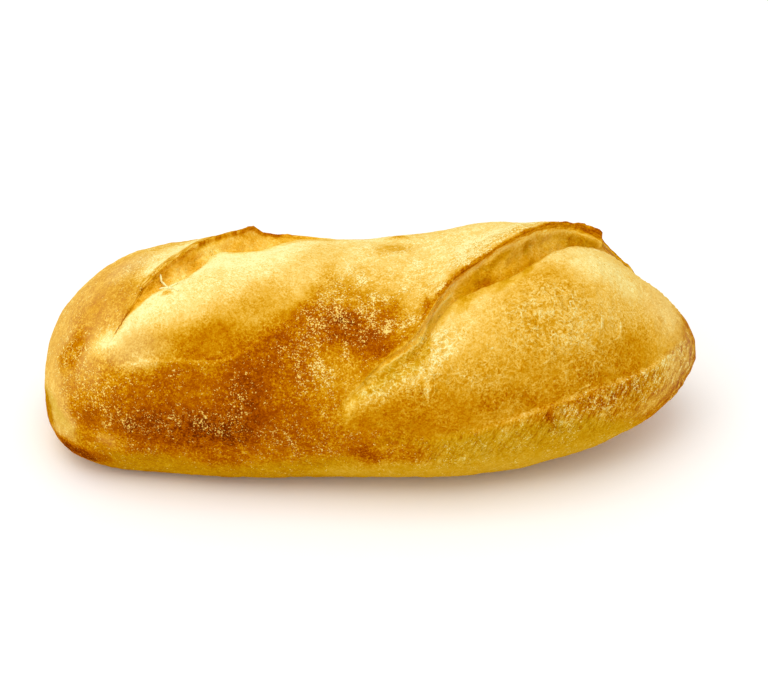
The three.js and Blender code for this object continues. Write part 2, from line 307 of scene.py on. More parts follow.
# Where flour from the proving cloth still lies
FLOURED = (
    (-11, 65, 8, 9, 0, 0.66), (-2, 57, 6, 6, 0, 0.6), (-16, 52, 4, 9, 0, 0.7),
    (3, 56, 4, 2.5, 45, 0.6), (-20, 38, 2.2, 11, 10, 0.62), (-14, 34, 3, 9, 15, 0.75),
    (-25, 42, 2, 6, 10, 0.45), (4, 55, 1.6, 1.3, 20, 1.3), (1, 54.5, 1.3, 1.6, 0, 1.1),
    (0, 61, 1.2, 1.8, 0, 1.3), (-3, 65.5, 1.2, 1.9, 30, 1.3), (-9, 65.5, 1.7, 1.5, 0, 1.3),
    (12, 59.5, 1.8, 1.6, 30, 1.4), (20, 73, 1.9, 1.1, 30, 1.5), (-8, 46, 1, 3, 10, 1.2),
    (5, 58, 1.3, 1.2, 0, 1.3), (9, 56.5, 1.5, 1, 30, 1.2), (4, 70, 2, 1.5, 0, 1.1),
    (9, 76, 1.6, 1.6, 0, 1.1), (-2.5, 82, 2, 1.6, 0, 1.4), (-5.5, 88, 2, 2, 0, 1.2),
    (0.5, 71, 1.6, 1.6, 0, 1.3), (14, 90, 2, 1.6, 0, 1.2), (-80, 26, 9, 7, 0, 0.55),
    (-84, 46, 5, 9, 0, 0.5), (-70, 11, 10, 3.5, 0, 0.58), (-57, 9, 9, 3.5, 0, 0.52),
    (-46, 9, 9, 4, 0, 0.6), (-38, 22, 4, 10, 0, 0.55), (-25, 3, 8, 5, 0, 0.5),
    (-15, -3, 6, 4, 0, 0.4), (-6, 4, 4, 5, 0, 0.5), (55, 2, 4, 6, 0, 0.65), (64, 12, 9, 4, 15, 0.6),
    (78, 18, 8, 5, 25, 0.55), (22, -8, 9, 8, 0, 0.4), (38, -3, 9, 7, 0, 0.4),
    (89, 48, 4, 14, 10, 0.55), (-6, 110, 12, 10, 0, 0.4), (12, 100, 10, 8, 0, 0.4),
    (-66, 96, 8, 4, 10, 0.6), (-57, 99, 7, 3, 20, 0.7), (-74.6, 50, 5, 5, 0, 0.6),
    (-88, 60, 4, 6, 0, 0.55), (-34, 158, 13, 7, 0, 0.62), (22, 166, 15, 6, 0, 0.66),
    (-68, 165, 9, 8, 0, 0.6), (60, 158, 9, 7, 0, 0.6), (-6, 186, 12, 6, 0, 0.6),
)
# Where no flour was left
CLEAN = ((8, -2, 12, 6, 0), (-1, -6, 6, 6, 0))
# Where fine flour veils the crust
VEILED = ((-70, 97, 8, 6, 0, 0.2), (-69, 46, 7, 6, 0, 0.14), (86, 84, 6, 8, 0, 0.16))
# Where brown spots break the pale olive foot
NOT_OLIVE = ((-2, -5, 7, 7, 0), (9, -3, 8, 5, 0), (-88, -18, 9, 7, 0), (-42, -8, 9, 5, 0))
# Threads of crumb drawn out across the left slash: the station and clock angle of each bend
THREADS = (
    ((-59.6, 80.8), (-59.3, 78.4), (-58.9, 76.4), (-58.4, 74), (-57, 71.6), (-55.8, 69.6)),
    ((-61, 75.6), (-59.6, 74.8), (-58.4, 74)), ((-58.4, 74), (-56.6, 74.6)),
)
THREAD_WIDTH = 0.65
THREAD_BROWNING = 0.2


class Skin:
    """Where each vertex of the loaf lies on its skin, in millimetres and degrees."""

    def __init__(self, loaf):
        self.points = read(loaf, "co") / MM
        self.normals = read(loaf, "normal")
        station, y, z = self.points.T
        blunt = station < 0
        far = np.clip(np.abs(station) / HALF_LENGTH, 0, 0.9995)
        closing = 1 / np.where(blunt, *END_ROUNDNESS)
        full = (1 - far ** np.where(blunt, *SIDE_TAPER)) ** closing
        full_crown = (1 - far ** np.where(blunt, *CROWN_TAPER)) ** closing
        belly = BELLY_HEIGHT + np.where(blunt, *BELLY_LIFT) * far**2
        swell = CROWN_SWELL(station)
        upper = z > belly
        reach = np.where(upper, CROWN_REACH * full_crown * swell, BASE_REACH * full)
        half = HALF_WIDTH * full
        half *= np.where(y < 0, FRONT_SWELL(station), 1 + BACK_SHARE * (swell - 1))
        square = np.where(upper, UPPER_SQUARENESS, LOWER_SQUARENESS)
        u = np.abs(y) / half
        v = np.abs(z - belly) / reach
        out = np.maximum((u**square + v**square) ** (1 / square), 1e-6)
        c = (u / out) ** (square / 2) * np.where(y < 0, 1, -1)
        s = (v / out) ** (square / 2) * np.where(upper, 1, -1)
        angle = np.degrees(np.arctan2(s, c))
        self.station = station
        self.angle = np.where(angle < -90, angle + 360, angle)
        self.radius = np.hypot(y, z - belly)
        turn = np.radians(self.angle)
        waves = np.sin(0.105 * station + 2 * turn) + np.cos(0.061 * station - 3 * turn)
        lump = 0.5 * LUMP_HEIGHT * waves * np.sin((turn + np.pi / 2) / 2) * full
        self.height = self.radius * (1 - 1 / out) - lump
        self.above_hearth = ease(z, 0.4, 4)
        across = self.normals[:, 1] * (z - belly) - self.normals[:, 2] * y
        across /= np.maximum(self.radius, 1e-6)
        self.facing = self.normals[:, 0] * math.sin(SLASH_SLANT) - across * math.cos(SLASH_SLANT)
        self.stray_x = noise_of(self.points, 9, 3, 1) + 0.5 * noise_of(self.points, 2.5, 2, 2)
        self.stray_y = noise_of(self.points, 9, 3, 3) + 0.5 * noise_of(self.points, 2.5, 2, 4)
        self.pits = noise_of(self.points, 3.6, 2, 11)

    def around(self, angle):
        """Millimetres round the loaf from a clock angle."""
        return np.radians(self.angle - angle) * self.radius

    def brush(self, station, angle, length, width, turn, raggedness=2.0):
        """Weight of one stroke of a soft brush with a ragged edge."""
        stray = min(raggedness, 0.6 * length, 0.6 * width)
        x = self.station - station + stray * self.stray_x
        y = self.around(angle) + stray * self.stray_y
        c, s = math.cos(math.radians(turn)), math.sin(math.radians(turn))
        along = (c * x + s * y) / length
        across = (c * y - s * x) / width
        return np.exp(-((along**2 + across**2) ** 1.5) * 0.6)


def noise_of(points, size, octaves, seed):
    """Soft noise of about -1 to 1 with hills of a size in millimetres."""
    shift = Vector((17.3 * seed, 31.7 * seed, 5.9 * seed))
    return np.array([noise.fractal(Vector(p) / size + shift, 1.0, 2.0, octaves) for p in points])


def read(piece, what):
    values = np.empty(len(piece.data.vertices) * 3, np.float32)
    piece.data.vertices.foreach_get(what, values)
    return values.reshape(-1, 3).astype(float)


class Zones:
    """Masks, from 0 to 1, of the parts of one slash."""

    def __init__(self, slash, skin):
        flat = math.cos(SLASH_SLANT)
        behind = skin.around(slash["ear"](skin.station)) * flat
        past_lip = skin.around(slash["lip"](skin.station)) * flat
        gap = np.radians(slash["gap"](skin.station)) * skin.radius * flat
        overhang = EAR_OVERHANG * self.opening(slash, skin.station)
        lean = skin.station - overhang * math.sin(SLASH_SLANT)
        rise = np.maximum(slash["rise"](lean), 0)
        drop = rise - skin.height
        thickness = slash["thickness"] * ease(rise, 0, FULL_FACE)
        raised = ease(rise, 0.3, 1)
        outer = ease(behind + overhang, -0.6, 0.2) * (1 - ease(skin.facing, 0.3, 0.6))
        outer *= ease(0.6 * rise - drop, -0.4, 0.2)
        outer = np.maximum(outer, ease(behind, 0.6, 1.5))
        outer = mix(ease(behind, -0.4, 0.4), outer, raised)
        within = span(skin.station, *slash["reach"])
        near = ease(behind, -4, -2.5) * (1 - outer) * raised * within
        margin = slash["recess_margin"](skin.station)
        self.inside = ease(past_lip, *slash["lip_blend"]) * (1 - outer) * within
        self.face = near * (1 - ease(drop, thickness - 0.3, thickness + 0.3))
        spread = behind + gap + margin * (1 + 0.9 * skin.stray_x)
        soft = 0.4 + 0.7 * margin
        self.recess = self.inside * ease(spread, -soft, soft) * (1 - self.face)
        self.groove = ease(-skin.height, 0.1, 1.4) * self.inside * ease(gap + 1.2 + behind, 0, 1.2)
        self.below_crumb_line = drop - CRUMB_LINE * thickness
        self.crumb_line = near * (1 - ease(np.abs(self.below_crumb_line), 2, 4))
        from_rim = np.hypot(behind + overhang, drop) / slash["rim_width"](skin.station)
        self.rim = (1 - ease(from_rim, 0.35, 1)) * raised * within
        self.from_lip = np.clip(past_lip / np.maximum(past_lip - behind - gap, 1), 0, 1)
        self.recess_share = np.clip((behind + gap) / np.maximum(gap, 0.5), 0, 1)
        self.behind = behind
        self.past_lip = past_lip
        self.drop = drop

    @staticmethod
    def opening(slash, station):
        """How far the slash has opened: 0 where it is shut, 1 where its ear stands full."""
        return np.clip(slash["rise"](station) / FULL_RISE, 0, 1)


def set_camera():
    """The view of the photograph."""
    azimuth, elevation, distance = math.radians(-1.5), math.radians(36), 0.6381
    lens, sensor_width, frame_width, frame_height = 100, 36, 768, 690
    aim, aim_pixel = Vector((0, 0, 0.022)), (370.8, 359.7)
    level = math.cos(elevation)
    back = Vector((math.sin(azimuth) * level, -math.cos(azimuth) * level, math.sin(elevation)))
    right = Vector((math.cos(azimuth), math.sin(azimuth), 0))
    up = back.cross(right)
    per_pixel = distance * sensor_width / lens / frame_width
    place = aim + back * distance
    place += right * (frame_width / 2 - aim_pixel[0]) * per_pixel
    place += up * (aim_pixel[1] - frame_height / 2) * per_pixel
    bpy.ops.object.camera_add(location=place, rotation=(math.pi / 2 - elevation, 0, azimuth))
    camera = bpy.context.active_object
    camera.data.lens = lens
    camera.data.sensor_width = sensor_width
    camera.data.clip_start = 0.01
    bpy.context.scene.camera = camera


def deselect():
    bpy.ops.object.select_all(action="DESELECT")


def activate(piece):
    deselect()
    piece.select_set(True)
    bpy.context.view_layer.objects.active = piece


def select_vertices(piece, chosen):
    """Selects the vertices that are true in chosen, and nothing else, in edit mode."""
    activate(piece)
    bpy.ops.object.mode_set(mode="EDIT")
    bpy.ops.mesh.select_mode(type="VERT")
    bpy.ops.mesh.select_all(action="DESELECT")
    bpy.ops.object.mode_set(mode="OBJECT")
    piece.data.vertices.foreach_set("select", chosen)
    bpy.ops.object.mode_set(mode="EDIT")


def copy_of(node, name):
    """A merged copy of a solid of the frame, to be worked on."""
    activate(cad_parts[node])
    bpy.ops.object.duplicate()
    piece = bpy.context.active_object
    piece.name = piece.data.name = name
    bpy.ops.object.mode_set(mode="EDIT")
    bpy.ops.mesh.select_all(action="SELECT")
    bpy.ops.mesh.remove_doubles(threshold=0.01 * MM)
    bpy.ops.object.mode_set(mode="OBJECT")
    return piece


def apply_modifiers(piece):
    activate(piece)
    for modifier in list(piece.modifiers):
        bpy.ops.object.modifier_apply(modifier=modifier.name)


def subdivide(piece, levels):
    smooth = piece.modifiers.new("risen", "SUBSURF")
    smooth.levels = smooth.render_levels = levels
    apply_modifiers(piece)


WEIGHT_STEPS = 100


def raise_where(piece, name, weights, millimetres, texture=None, middle=0.0):
    """Raises the surface along its normals by so many millimetres where the weights are 1."""
    group = piece.vertex_groups.new(name=name)
    levels = np.round(np.clip(weights, 0, 1) * WEIGHT_STEPS).astype(int)
    for level in range(1, WEIGHT_STEPS + 1):
        chosen = np.flatnonzero(levels == level)
        if len(chosen):
            group.add(chosen.tolist(), level / WEIGHT_STEPS, "REPLACE")
    lift = piece.modifiers.new(name, "DISPLACE")
    lift.vertex_group = group.name
    lift.strength = millimetres * MM
    lift.mid_level = middle
    lift.texture = texture
    lift.texture_coords = "LOCAL"
    apply_modifiers(piece)
    piece.vertex_groups.remove(piece.vertex_groups[name])


def clouds(name, size, depth=2, hard=False):
    """Lumps of a size in millimetres."""
    texture = bpy.data.textures.new(name, "CLOUDS")
    texture.noise_scale = size * MM
    texture.noise_depth = depth
    texture.noise_type = "HARD_NOISE" if hard else "SOFT_NOISE"
    return texture


def close_noses(loaf):
    """Draws the small flat caps of the two ends together to points."""
    for side in (-1, 1):
        ends = read(loaf, "co")[:, 0] / MM * side > HALF_LENGTH - 0.1
        select_vertices(loaf, ends)
        bpy.ops.mesh.merge(type="CENTER")
        bpy.ops.object.mode_set(mode="OBJECT")


def crease_ears(loaf):
    """Keeps the cut edges of the slashes sharp when the loaf is smoothed."""
    activate(loaf)
    bpy.ops.object.mode_set(mode="EDIT")
    bpy.ops.mesh.select_mode(type="EDGE")
    bpy.ops.mesh.select_all(action="DESELECT")
    bpy.ops.mesh.edges_select_sharp(sharpness=CUT_EDGE)
    bpy.ops.transform.edge_crease(value=CUT_SHARPNESS)
    bpy.ops.object.mode_set(mode="OBJECT")


def model_loaf():
    loaf = copy_of("loaf", "baguette_loaf")
    close_noses(loaf)
    activate(loaf)
    bpy.ops.object.mode_set(mode="EDIT")
    bpy.ops.mesh.select_all(action="SELECT")
    bpy.ops.mesh.tris_convert_to_quads(face_threshold=math.pi, shape_threshold=math.pi)
    bpy.ops.object.mode_set(mode="OBJECT")
    crease_ears(loaf)
    subdivide(loaf, SMOOTHING_LEVELS)
    activate(loaf)
    bpy.ops.object.shade_smooth()
    return loaf


def roughen(loaf, skin, right, left):
    """The relief of the crust: lumps, the torn groove, ragged rims, wrinkled skin and blisters."""
    crust = skin.above_hearth * (1 - right.inside) * (1 - left.inside)
    inside = np.maximum(right.inside, left.inside)
    groove = np.maximum(right.groove * (1 - 0.8 * ease(skin.station, 66, 72)), left.groove)
    rim = np.maximum(right.rim, left.rim)
    raise_where(loaf, "lumps", skin.above_hearth, 0.9, clouds("lumps", 13), 0.5)
    raise_where(loaf, "grain", crust, 0.45, clouds("grain", 3.5), 0.5)
    raise_where(loaf, "crumb", inside * (1 - groove), 0.5, clouds("crumb", 4.5), 0.5)
    raise_where(loaf, "torn", groove, 2.2, clouds("torn", 3.2, 2, True), 0.5)
    raise_where(loaf, "ragged", rim, 1.0, clouds("ragged", 2.6), 0.5)
    round_loaf = skin.around(0)
    drawn_out = np.column_stack((skin.station + 0.3 * round_loaf, 0.2 * round_loaf, 0 * round_loaf))
    wrinkles = ease(noise_of(drawn_out, 1.8, 2, 5), -0.3, 0.4)
    wrinkles *= mix(1, 0.3, ease(skin.station, 76, 86))
    raise_where(loaf, "wrinkles", fibrous_below(skin, right) * wrinkles, 0.8)
    folds = 1 - ease(np.abs(noise_of(skin.points, 4.5, 2, 6)), 0, 0.16)
    raise_where(loaf, "folds", folds * right.inside * (1 - right.recess) * (1 - right.face), 0.3)
    raise_where(loaf, "blisters", (1 - ease(from_blisters(skin), 0.2, 1)) * right.inside, 0.4)
    raise_where(loaf, "bridge", skin.brush(*BRIDGE, raggedness=0) * left.recess, 1.6)
    behind_ear = span(right.behind, 0.5, 4, 8, 16)
    raise_where(loaf, "behind_ear", behind_ear * (1 - ease(np.abs(skin.station - 46), 2, 8)), 0.7)
    raise_where(loaf, "knob", skin.brush(9, 118, 2.5, 2, 0), 0.9)
    by_ear = span(right.behind, -4, -2, 3, 7)
    corner = span(skin.station, 62, 66, 69.2, 70.4)
    end = span(skin.station, 69.6, 71, 82, 88)
    raise_where(loaf, "ear_corner", by_ear * corner, 0.8)
    raise_where(loaf, "ear_end", by_ear * end, -1.6)


def outer_browning(skin, left):
    """How far the outer crust has browned, 0 being cream and 1 dark brown."""
    tone = mix(LEFT_BROWNING(skin.angle), RIGHT_BROWNING(skin.angle), ease(skin.station, -22, 2))
    tone += 0.06 * noise_of(skin.points, 30, 3, 7)
    for *where, stroke in CRUST_BROWNING:
        tone = mix(tone, stroke, skin.brush(*where))
    floury_edge = span(left.behind, 1.2, 2.4, 6, 14)
    floury_edge *= span(skin.station, -69, -63, -52, -47)
    return mix(tone, 0.05, 0.9 * floury_edge * ease(skin.stray_x, -0.7, -0.1))


def inner_browning(skin, right, left):
    """How far the slashes have browned: the swollen inside, the torn recess and the ear's cut face, the
    last two painted lighter as painted light against the shade of the groove.
    """
    of_right = right.inside > left.inside
    swollen = (RIGHT_SLASH["browning"](right.from_lip), LEFT_SLASH["browning"](left.from_lip))
    tone = np.where(of_right, *swollen)
    for *where, stroke in INSIDE_BROWNING:
        tone = mix(tone, stroke, skin.brush(*where))
    pits = 0.24 * ease(skin.pits, 0.05, 0.4) - 0.12 * ease(-skin.pits, 0.05, 0.4)
    for zones, slash in ((right, RIGHT_SLASH), (left, LEFT_SLASH)):
        torn = slash["recess_browning"](skin.station) + slash["pits"] * pits
        torn += slash["recess_gradient"](zones.recess_share)
        for *where, stroke in RECESS_BROWNING:
            torn = mix(torn, stroke, skin.brush(*where))
        tone = mix(tone, torn, zones.recess)
        paler = 0.18 * ease(zones.drop, 0.4, 1.6)
        tone = mix(tone, slash["face_browning"](skin.station) - paler, zones.face)
    return tone


def brown_foot(tone, skin, right, from_foot, foot):
    """The tone with the right slash's shut foot browned over it, and the ear's rim above that."""
    stripe = ease(from_foot, 0.8, 2) * mix(0.08, -0.18, ease(skin.station, 2, 8))
    # Painted light: the recess side in front of the line and the ribbon behind it are painted lighter
    # against the shade of the narrow gap and the steep face
    stripe -= 0.12 * ease(skin.station, 12, 18) * (1 - ease(from_foot, -0.5, 0.5))
    past_edge = (1 - right.inside) * ease(skin.station, 12, 16)
    ribbon = (1 - ease(np.abs(from_foot - 0.8), 0.9, 1.6)) * (1 - past_edge)
    stripe -= 0.1 * ease(skin.station, 7, 12) * ribbon
    strayed = from_foot + 0.3 * skin.stray_y + 1.6 * past_edge
    tone = mix(tone, FOOT_BROWNING(strayed) + stripe, foot)
    return mix(tone, RIGHT_SLASH["rim_browning"](skin.station), right.rim * ease(skin.station, 17, 22))


def olive_share(skin, right, inside, on_nose, from_foot, foot):
    """How olive the skin is: near the hearth, as painted bounce light in the shade under the belly, in
    the right recess and in front of its foot.
    """
    olive = 1 - ease(skin.around(OLIVE_LINE(skin.station)) + 2.5 * skin.stray_y, -3, 2)
    olive *= ease(skin.angle, -89, -40) * (1 - inside) * (1 - on_nose)
    for where in NOT_OLIVE:
        olive *= 1 - skin.brush(*where)
    pitted = mix(0.45, 0.85, ease(skin.pits, 0, 0.3)) * (1 - ease(skin.station, 64, 70))
    in_front = span(from_foot, -4.5, -2, -0.3, 0.3)
    return np.maximum.reduce((olive, right.recess * pitted, 0.7 * foot * in_front))


def flour_laid(skin, right, inside, along_ear):
    """How much flour lies on the skin."""
    flour = 0.16 + 0.14 * noise_of(skin.points, 22, 2, 8)
    for *where, amount in FLOURED:
        flour = np.maximum(flour, amount * skin.brush(*where))
    flour = np.maximum(flour, mix(0.8, 1.3, ease(right.behind, 1, 3.5)) * along_ear)
    for where in CLEAN:
        flour *= 1 - 0.8 * skin.brush(*where)
    return np.clip(flour, 0, 1.6) * (1 - inside) * (1 - 0.8 * right.rim)


def paint(loaf, skin, right, left):
    """Stores on the loaf's points what the crust material reads."""
    inside = np.maximum(right.inside, left.inside)
    turned_away, on_nose = nose_turned_away(skin)
    from_foot, foot = foot_of_slash(skin, right)
    steep_in_shade = ease(skin.facing, 0.3, 0.7) * np.maximum(right.face, right.inside * foot) * (1 - right.rim)
    along_ear = span(right.behind, -1.6, -1, 5, 12)
    along_ear *= span(skin.station, 18, 28, 56, 64)

    tone = mix(outer_browning(skin, left), inner_browning(skin, right, left), inside)
    # The pointed end's band along its outline as seen from the camera: brown crust with painted shade
    streaks = 0.08 * np.sin(45 * turned_away + 2 * skin.stray_y)
    tone = mix(tone, NOSE_BROWNING(turned_away) + streaks, on_nose)
    for zones, slash in ((right, RIGHT_SLASH), (left, LEFT_SLASH)):
        tone = mix(tone, slash["rim_browning"](skin.station), zones.rim)
    tone = brown_foot(tone, skin, right, from_foot, foot)
    # Painted light: steep faces in the loaf's own shade are painted lighter
    tone -= (0.12 - 0.06 * foot) * steep_in_shade
    by_edge = span(right.behind, 0.3, 1.2, 4, 7)
    tone = mix(tone, 0.42, 0.6 * along_ear * by_edge)
    store(loaf, "browning", tone)

    olive = olive_share(skin, right, inside, on_nose, from_foot, foot)
    store(loaf, "olive", olive)
    store(loaf, "flour", flour_laid(skin, right, inside, along_ear))
    store(loaf, "inside", inside)
    store(loaf, "fibrous", fibrous_below(skin, right))
    store(loaf, "from_blister", from_blisters(skin))

    crinkled = 0.28 - 0.06 * inside
    for *where, amount in CRINKLED:
        crinkled = np.maximum(crinkled, amount * skin.brush(*where) * right.inside)
    store(loaf, "crinkled", crinkled)

    smooth = mix(0.54, 0.44, 1 - ease(tone, 0.08, 0.42))
    patchy = mix(mix(0.8, 0.95, ease(tone, 0.4, 0.65)), 0.6, olive)
    store(loaf, "patchy", mix(patchy, smooth, inside))

    blunt_end = skin.station + 4 * skin.stray_x
    veil = 0.12 * (1 - ease(blunt_end, -84, -62)) + 0.1 * ease(skin.station, 82, 89)
    veil *= (1 - inside) * (1 - 0.5 * olive)
    for *where, amount in VEILED:
        veil = np.maximum(veil, amount * skin.brush(*where))
    nose_veil = 0.1 * on_nose * ease(skin.angle, -20, 20) * (1 - ease(turned_away, -0.55, -0.25))
    store(loaf, "veil", np.maximum(veil * (1 - ease(tone, 0.44, 0.6)), nose_veil))

    # Painted light: the recesses, the ears' cut faces, steep faces and the foot's ribbon lie in the
    # loaf's own shade and take the lighter, more golden copy of the colours. The blunt end takes it for
    # its orange crust.
    left_shade = 0.7 * np.maximum(left.recess, left.face)
    right_shade = np.maximum(0.3 * right.recess, right.face)
    shade = np.maximum.reduce((left_shade, right_shade, steep_in_shade)) * (1 - foot)
    ribbon = foot * ease(from_foot, -0.2, 0.2) * (1 - ease(right.behind, -0.4, 0.2))
    orange_end = 0.5 * (1 - ease(blunt_end, -80, -62)) * (1 - inside) * (1 - olive)
    store(loaf, "painted_light_and_orange", np.maximum.reduce((shade, ribbon, orange_end)))

    store(loaf, "ridge", np.maximum(left.rim, 0.7 * right.face))
    across_ear = np.where(right.face > left.rim, right.drop, left.behind + 0.9 * skin.stray_y)
    store(loaf, "across_ear", np.clip(across_ear, -5, 5))
    at_foot = 1 - ease(skin.station, 22, 25)
    store(loaf, "crumb_line", mix(0.6 * right.crumb_line, foot, at_foot))
    store(loaf, "below_crumb_line", np.clip(mix(right.below_crumb_line, from_foot, at_foot), -5, 5))
    past_lip = np.where(skin.station < -15, left.past_lip, right.past_lip)
    store(loaf, "from_lip", np.clip(past_lip, -5, 5))
    left_lip = span(skin.station, -76, -68, -40, -30)
    right_lip = span(skin.station, 34, 42, 80, 86)
    store(loaf, "lip", np.maximum(left_lip, right_lip))
    store(loaf, "crack", 1 - ease(np.abs(skin.station + 71), 1.6, 2.8))


def draw_threads(loaf, skin):
    """Thin threads of crumb across the slash, which stay part of the loaf."""
    pieces = []
    for bends in THREADS:
        places = [Vector(on_top(skin, *bend) * MM) for bend in bends]
        for a, b in zip(places, places[1:]):
            bpy.ops.mesh.primitive_uv_sphere_add(segments=8, ring_count=8, radius=0.5)
            thread = bpy.context.active_object
            thread.location = (a + b) / 2
            thread.rotation_euler = (b - a).to_track_quat("X", "Z").to_euler()
            thread.scale = ((b - a).length * 1.35, THREAD_WIDTH * MM, THREAD_WIDTH * MM)
            bpy.ops.object.transform_apply()
            bpy.ops.object.shade_smooth()
            store(thread, "browning", np.full(len(thread.data.vertices), THREAD_BROWNING))
            pieces.append(thread)
    activate(loaf)
    for thread in pieces:
        thread.select_set(True)
    bpy.ops.object.join()


def on_top(skin, station, angle):
    """The highest point of the skin near a place on it."""
    near = np.hypot(skin.station - station, skin.around(angle)) < 1.2
    return skin.points[np.flatnonzero(near)[np.argmax(skin.height[near])]]


def from_blisters(skin):
    """Millimetres to the nearest rim of a blister."""
    nearest = np.full(len(skin.station), BLISTER_REACH)
    for station, angle, radius, start, end in BLISTERS:
        x = skin.station - station + 0.5 * skin.stray_x
        y = skin.around(angle) + 0.5 * skin.stray_y
        turn = np.radians((np.degrees(np.arctan2(y, x)) - start) % 360)
        past_end = np.clip(turn - math.radians(end - start), 0, None)
        nearest = np.minimum(nearest, np.abs(np.hypot(x, y) - radius) + radius * past_end)
    return nearest


def foot_of_slash(skin, slash):
    """Millimetres behind the crumb line of the right slash's foot, and how much of the foot is there."""
    slope = np.radians(FOOT_LINE(skin.station + 0.5) - FOOT_LINE(skin.station - 0.5)) * skin.radius
    behind = skin.around(FOOT_LINE(skin.station)) / np.sqrt(1 + slope**2)
    along = span(skin.station, -2, 4, 21, 26)
    narrowing = ease(skin.station, 8, 16)
    stripe = 1 - ease(behind + skin.stray_x, mix(4, 2.2, narrowing), mix(7, 3.6, narrowing))
    across = ease(behind + skin.stray_x, -7, -4) * stripe
    return behind, along * across * (1 - ease(slash.behind, 2.5, 5))


def nose_turned_away(skin):
    """How far the skin turns away from the camera, and how much of the pointed end's edge is there."""
    turned_away = skin.normals @ np.array(AWAY_FROM_VIEW) + 0.03 * skin.stray_x
    endwise = mix(0.45, 0.68, ease(skin.normals[:, 2], -0.1, 0.3))
    ends = ease(skin.normals[:, 0], endwise, endwise + 0.16) * ease(skin.station, 60, 76)
    return turned_away, ends * span(turned_away, -0.92, -0.8, 0.2, 0.7)


def fibrous_below(skin, slash):
    """How fibrous the skin is that was drawn out below a slash's lip and over the pointed end."""
    below = -slash.past_lip
    drawn = span(below, -0.8, 0.8, 4, 13) * mix(0.8, 1, ease(skin.station, 35, 50))
    drawn *= ease(skin.angle, -80, -45)
    end = span(skin.station, 84, 88, 92, 95) * (1 - slash.inside)
    end *= span(skin.angle, -60, -30, 46, 70)
    return np.maximum(drawn * ease(skin.station, 4, 20), end) * skin.above_hearth


def store(piece, name, values):
    attribute = piece.data.attributes.new(name, "FLOAT", "POINT")
    attribute.data.foreach_set("value", np.asarray(values, np.float32))


def linear(red, green, blue):
    """The light of a colour given by its three numbers from 0 to 255."""
    shares = (red / 255, green / 255, blue / 255)
    return tuple(c / 12.92 if c < 0.0405 else ((c + 0.055) / 1.055) ** 2.4 for c in shares)


class Nodes:
    """Adds nodes to a material and joins them."""

    def __init__(self, material):
        material.use_nodes = True
        self.tree = material.node_tree
        self.shader = self.tree.nodes["Principled BSDF"]

    def add(self, kind, inputs=None, **settings):
        node = self.tree.nodes.new("ShaderNode" + kind)
        for name, value in settings.items():
            setattr(node, name, value)
        for name, value in (inputs or {}).items():
            self.set(node, name, value)
        return node

    def set(self, node, name, value):
        if isinstance(value, bpy.types.NodeSocket):
            self.tree.links.new(value, node.inputs[name])
        else:
            node.inputs[name].default_value = value

    def calc(self, kind, a, b, c=0.0):
        return self.add("Math", {0: a, 1: b, 2: c}, operation=kind).outputs[0]

    def attribute(self, name):
        return self.add("Attribute", attribute_name=name).outputs["Fac"]

    def step(self, value, low, high):
        """0 below low, 1 above high."""
        inputs = {"Value": value, "From Min": low, "From Max": high}
        return self.add("MapRange", inputs, interpolation_type="SMOOTHSTEP").outputs[0]

    def fade(self, value, low, high):
        """1 below low, 0 above high."""
        return self.calc("SUBTRACT", 1.0, self.step(value, low, high))

    def line(self, off, inner, outer):
        """1 along a thin line, by the distance off it."""
        return self.fade(self.calc("ABSOLUTE", off, 0.0), inner, outer)

    def noise(self, place, scale, detail, roughness=0.55, distortion=0.0):
        inputs = {
            "Vector": place, "Scale": scale, "Detail": detail,
            "Roughness": roughness, "Distortion": distortion,
        }
        return self.add("TexNoise", inputs).outputs["Fac"]

    def between(self, share, a, b):
        """The value that lies this share of the way from a to b."""
        return self.calc("MULTIPLY_ADD", self.calc("SUBTRACT", b, a), share, a)

    def cells(self, place, scale):
        """A value of its own for each grain."""
        colour = self.add("TexVoronoi", {"Vector": place, "Scale": scale}).outputs["Color"]
        return self.add("SeparateColor", {"Color": colour}).outputs[0]

    def ramp(self, value, stops):
        node = self.add("ValToRGB", {"Fac": value})
        while len(node.color_ramp.elements) < len(stops):
            node.color_ramp.elements.new(1)
        for element, (place, colour) in zip(node.color_ramp.elements, stops):
            element.position = place
            element.color = (*linear(*colour), 1)
        return node.outputs["Color"]

    def blend(self, share, a, b):
        """The colour that lies this share of the way from a to b."""
        node = self.add("Mix", data_type="RGBA")
        self.set(node, "Factor", share)
        for socket, value in ((node.inputs[6], a), (node.inputs[7], b)):
            if isinstance(value, bpy.types.NodeSocket):
                self.tree.links.new(value, socket)
            else:
                socket.default_value = (*linear(*value), 1)
        return node.outputs[2]


# Colours of the crust from pale to dark
CRUST_STOPS = (
    (0.0, (245, 237, 168)), (0.12, (240, 214, 130)), (0.25, (233, 192, 94)),
    (0.38, (220, 168, 52)), (0.5, (202, 143, 12)), (0.62, (187, 117, 0)),
    (0.74, (170, 90, 0)), (0.87, (148, 66, 0)), (1.0, (104, 38, 0)),
)
OLIVE_STOPS = (
    (0.0, (240, 222, 130)), (0.25, (218, 176, 54)), (0.5, (198, 148, 8)),
    (0.75, (166, 100, 0)), (1.0, (98, 50, 0)),
)
# A lighter, more golden copy of the crust's colours: painted light for the torn recesses and faces that
# lie in the loaf's own shade, and also the blunt end's orange crust
PAINTED_LIGHT_STOPS = (
    (0.0, (252, 237, 140)), (0.12, (249, 214, 100)), (0.25, (243, 192, 62)),
    (0.38, (230, 168, 26)), (0.5, (212, 143, 0)), (0.62, (194, 117, 0)),
    (0.74, (172, 90, 0)), (1.0, (104, 38, 0)),
)
FLOUR_COLOUR = (254, 242, 184)


